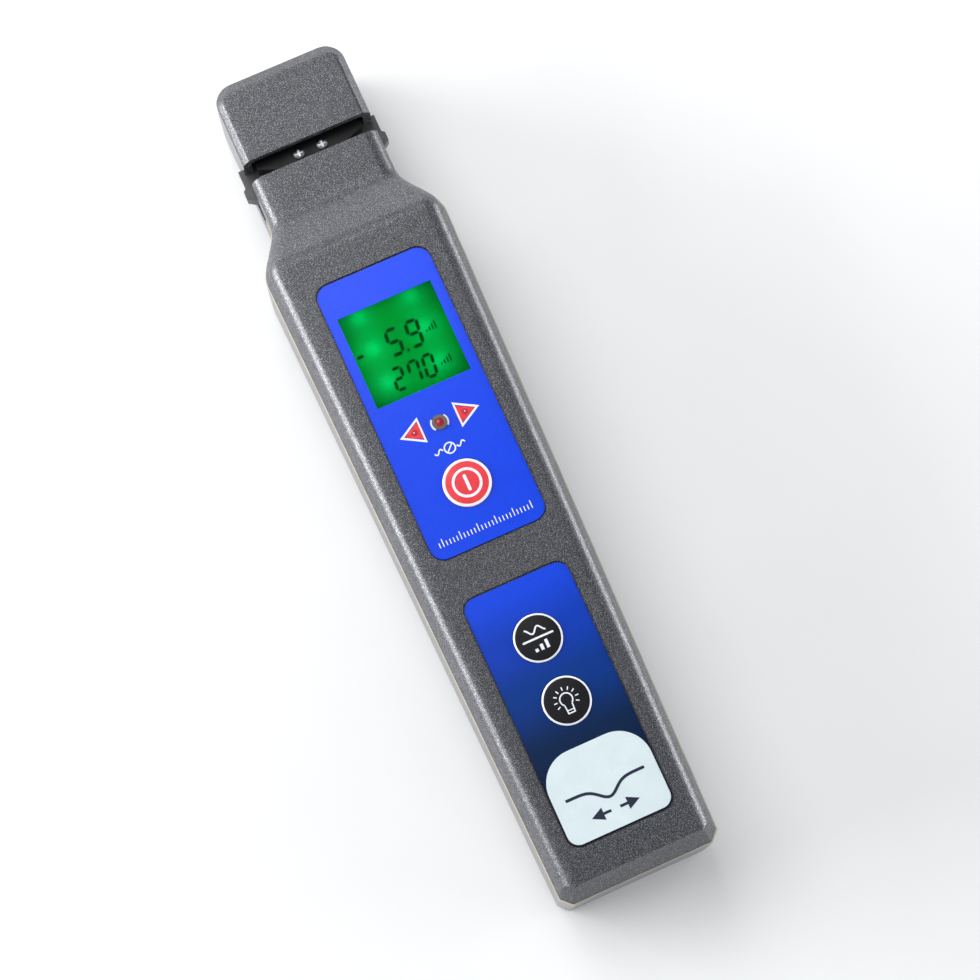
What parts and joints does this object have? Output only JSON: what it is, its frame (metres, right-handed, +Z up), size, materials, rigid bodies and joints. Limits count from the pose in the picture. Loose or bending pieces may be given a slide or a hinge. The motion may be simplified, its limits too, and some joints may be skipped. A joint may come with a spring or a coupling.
{
  "type": "optical fibre identifier",
  "caption": "Hand-held optical fibre identifier: long grey two-shell body with blue overlays, lit display, keys and arrow lamps, and a slotted head with a sprung jaw.",
  "frame": {"origin": "middle of the back, on the surface that the instrument lies on", "axes": "+X to the right of the display, +Y towards the head, +Z up out of the face"},
  "size_m": [0.0502, 0.2304, 0.0363],
  "materials": {
    "speckled_grey": "satin metallic grey coat with fine dark speckle",
    "cream_gasket": "soft, matt",
    "overlay_blue": "printed film, satin",
    "overlay_navy": "printed film, satin, fading to navy",
    "clear_window": "clear",
    "display_green": "backlit",
    "light_guide": "milky",
    "black_plastic": "fine matt",
    "contact_rubber": "matt",
    "key_red": "satin",
    "key_black": "satin",
    "white_plastic": "satin",
    "lamp_red": "translucent",
    "lamp_dark": "translucent",
    "board_green": "solder mask",
    "steel": "bright",
    "spring_steel": "bright drawn wire",
    "brass_can": "gilt",
    "lens_glass": "polished",
    "ceramic_tan": "glazed",
    "battery_case": "printed jacket",
    "lead_red": "insulated wire",
    "grey_foam": "open cells",
    "strip_amber": "film",
    "slider_white": "smooth"
  },
  "bodies": {
    "housing": {"rear_shell": "speckled_grey", "front_shell": "speckled_grey", "head_cover": "speckled_grey", "seam_gasket": "cream_gasket", "upper_overlay": "overlay_blue", "lower_overlay": "overlay_navy", "display_window": "clear_window", "display_glass": "display_green", "display_backlight": "light_guide", "display_frame": "black_plastic", "contact_strips": "contact_rubber", "key_switches": "black_plastic", "left_arrow_window": "lamp_red", "right_arrow_window": "lamp_red", "arrow_lamps": "lamp_red", "signal_lamp": "lamp_dark", "main_board": "board_green", "board_screws": "steel", "main_chip": "black_plastic", "amplifier_chip": "black_plastic", "board_parts": "ceramic_tan", "buzzer": "black_plastic", "battery": "battery_case", "battery_studs": "steel", "battery_snap": "black_plastic", "battery_leads": "lead_red", "battery_foam": "grey_foam", "anvil": "black_plastic", "anvil_screws": "steel", "sensor_strip": "strip_amber", "guide_rods": "steel", "left_return_spring": "spring_steel", "right_return_spring": "spring_steel", "shell_screws": "steel", "head_screws": "steel"},
    "door": {"battery_door": "speckled_grey"},
    "power_button": {"power_key": "key_red", "power_plunger": "white_plastic"},
    "mode_button": {"mode_key": "key_black", "mode_plunger": "white_plastic"},
    "lamp_button": {"lamp_key": "key_black", "lamp_plunger": "white_plastic"},
    "jaw": {"trigger": "black_plastic", "trigger_link": "steel", "link_screws": "steel", "carriage": "slider_white", "saddle": "black_plastic", "saddle_pins": "steel", "detectors": "brass_can", "detector_lenses": "lens_glass", "sensor_board": "board_green"}
  },
  "joints": [
    {"name": "trigger_slide", "type": "slide", "parent": "housing", "child": "jaw", "axis": [0, -1, 0], "range_m": [0, 0.005], "stiffness_N_per_m": 400, "springref_m": -0.005, "deforming": ["left_return_spring", "right_return_spring", "sensor_strip"]},
    {"name": "power_press", "type": "slide", "parent": "housing", "child": "power_button", "axis": [0, 0, -1], "range_m": [0, 0.0004], "stiffness_N_per_m": 900, "springref_m": -0.0004},
    {"name": "mode_press", "type": "slide", "parent": "housing", "child": "mode_button", "axis": [0, 0, -1], "range_m": [0, 0.0004], "stiffness_N_per_m": 900, "springref_m": -0.0004},
    {"name": "lamp_press", "type": "slide", "parent": "housing", "child": "lamp_button", "axis": [0, 0, -1], "range_m": [0, 0.0004], "stiffness_N_per_m": 900, "springref_m": -0.0004},
    {"name": "door_slide", "type": "slide", "parent": "housing", "child": "door", "axis": [0, -1, 0], "range_m": [0, 0.06]}
  ]
}
